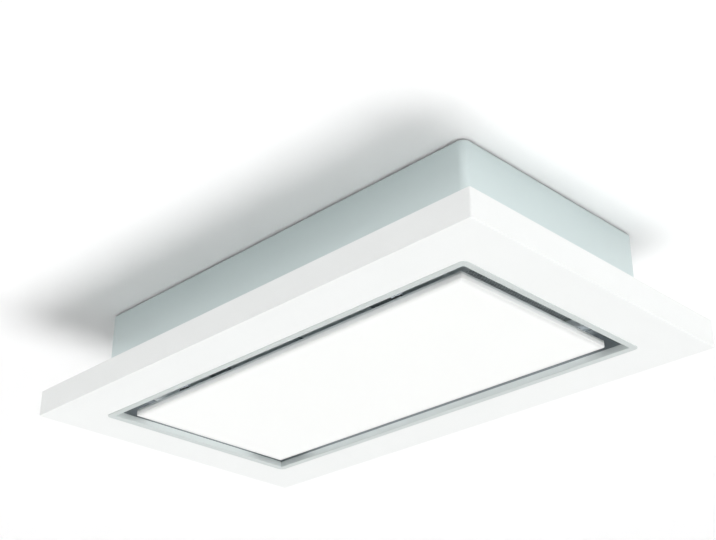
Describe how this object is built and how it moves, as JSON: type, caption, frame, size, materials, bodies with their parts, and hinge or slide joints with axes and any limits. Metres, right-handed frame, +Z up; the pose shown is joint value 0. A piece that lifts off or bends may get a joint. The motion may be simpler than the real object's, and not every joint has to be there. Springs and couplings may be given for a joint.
{
  "type": "ceiling range hood",
  "caption": "Ceiling-mounted range hood: white frame under a sheet-metal casing, perimeter suction slot, lit centre panel that swings down, blower and duct collar.",
  "frame": {"origin": "centre of the four ceiling fixings, in the ceiling plane at the top of the seal", "axes": "+Z up into the ceiling, +X along the hood's length, +Y towards the long side that the centre panel is hinged on"},
  "size_m": [1.2, 0.7, 0.291],
  "materials": {
    "casing_paint": "satin cool white",
    "frame_paint": "satin white",
    "trim_metal": "satin anodised",
    "seal_foam": "matt foam",
    "galvanised_steel": "galvanised",
    "channel_paint": "satin light grey",
    "dark_steel": "matt grey",
    "fastener_steel": "zinc plated",
    "magnet": "ferrite",
    "filter_aluminium": "brushed",
    "filter_wool": "layers of fine aluminium mesh",
    "latch_plastic": "moulded",
    "tray_aluminium": "satin",
    "opal_acrylic": "opal, lit from behind",
    "clear_acrylic": "clear",
    "reflector_film": "matt white film",
    "led_board": "white mask",
    "black_plastic": "moulded",
    "impeller_plastic": "moulded",
    "motor_metal": "die cast",
    "bush_rubber": "soft rubber",
    "collar_plastic": "moulded",
    "damper_aluminium": "mill",
    "box_plastic": "moulded grey",
    "circuit_board": "solder mask",
    "capacitor_can": "moulded white",
    "driver_case": "moulded white"
  },
  "bodies": {
    "hood": {"blower_cover": "galvanised_steel", "blower_hangers": "galvanised_steel", "blower_screws": "fastener_steel", "blower_scroll": "galvanised_steel", "cable_gland": "black_plastic", "casing": "casing_paint", "catch_brackets": "dark_steel", "catch_magnets": "magnet", "ceiling_rail_left": "galvanised_steel", "ceiling_rail_right": "galvanised_steel", "ceiling_seal": "seal_foam", "clamp_nuts": "fastener_steel", "clamp_screws": "fastener_steel", "control_board": "circuit_board", "control_box": "box_plastic", "control_cover": "box_plastic", "damper_pin": "fastener_steel", "duct_collar": "collar_plastic", "filter_frame_left": "filter_aluminium", "filter_frame_right": "filter_aluminium", "filter_grid": "dark_steel", "filter_mesh_left": "filter_aluminium", "filter_mesh_right": "filter_aluminium", "filter_pad_left": "filter_wool", "filter_pad_right": "filter_wool", "frame_top_cover": "frame_paint", "gland_nut": "black_plastic", "hinge_bracket_left": "dark_steel", "hinge_bracket_right": "dark_steel", "hinge_pins": "fastener_steel", "inlet_ring": "galvanised_steel", "inner_channel": "channel_paint", "led_driver": "driver_case", "lower_frame": "frame_paint", "motor_body": "motor_metal", "motor_bushes": "bush_rubber", "motor_lead": "black_plastic", "motor_screws": "fastener_steel", "outlet_box": "galvanised_steel", "run_capacitor": "capacitor_can", "terminal_block": "black_plastic", "top_plate": "galvanised_steel", "trim_ring": "trim_metal"},
    "centre_panel": {"panel_tray": "tray_aluminium", "panel_diffuser": "opal_acrylic", "reflector_sheet": "reflector_film", "light_guide": "clear_acrylic", "led_strips": "led_board", "light_socket": "black_plastic", "strike_plates": "fastener_steel", "hinge_arm_left": "dark_steel", "hinge_arm_right": "dark_steel"},
    "rotor": {"impeller_backplate": "impeller_plastic", "impeller_blades": "impeller_plastic", "impeller_nut": "fastener_steel", "motor_shaft": "fastener_steel"},
    "back_flap": {"damper_flap_back": "damper_aluminium"},
    "front_flap": {"damper_flap_front": "damper_aluminium"},
    "left_latch": {"filter_latch_left": "latch_plastic"},
    "right_latch": {"filter_latch_right": "latch_plastic"}
  },
  "joints": [
    {"name": "panel_hinge", "type": "hinge", "parent": "hood", "child": "centre_panel", "pos_m": [0, 0.19, -0.205], "axis": [1, 0, 0], "range_deg": [0, 90]},
    {"name": "impeller_spin", "type": "hinge", "parent": "hood", "child": "rotor", "pos_m": [-0.15, -0.017, -0.08], "axis": [0, 0, 1], "continuous": true},
    {"name": "back_flap_hinge", "type": "hinge", "parent": "hood", "child": "back_flap", "pos_m": [0.113, 0.1215, -0.016], "axis": [1, 0, 0], "range_deg": [0, 75]},
    {"name": "front_flap_hinge", "type": "hinge", "parent": "hood", "child": "front_flap", "pos_m": [0.113, 0.1215, -0.016], "axis": [-1, 0, 0], "range_deg": [0, 75]},
    {"name": "left_latch_slide", "type": "slide", "parent": "hood", "child": "left_latch", "axis": [0, 1, 0], "range_m": [0, 0.008], "stiffness_N_per_m": 250, "springref_m": -0.003},
    {"name": "right_latch_slide", "type": "slide", "parent": "hood", "child": "right_latch", "axis": [0, 1, 0], "range_m": [0, 0.008], "stiffness_N_per_m": 250, "springref_m": -0.003}
  ]
}
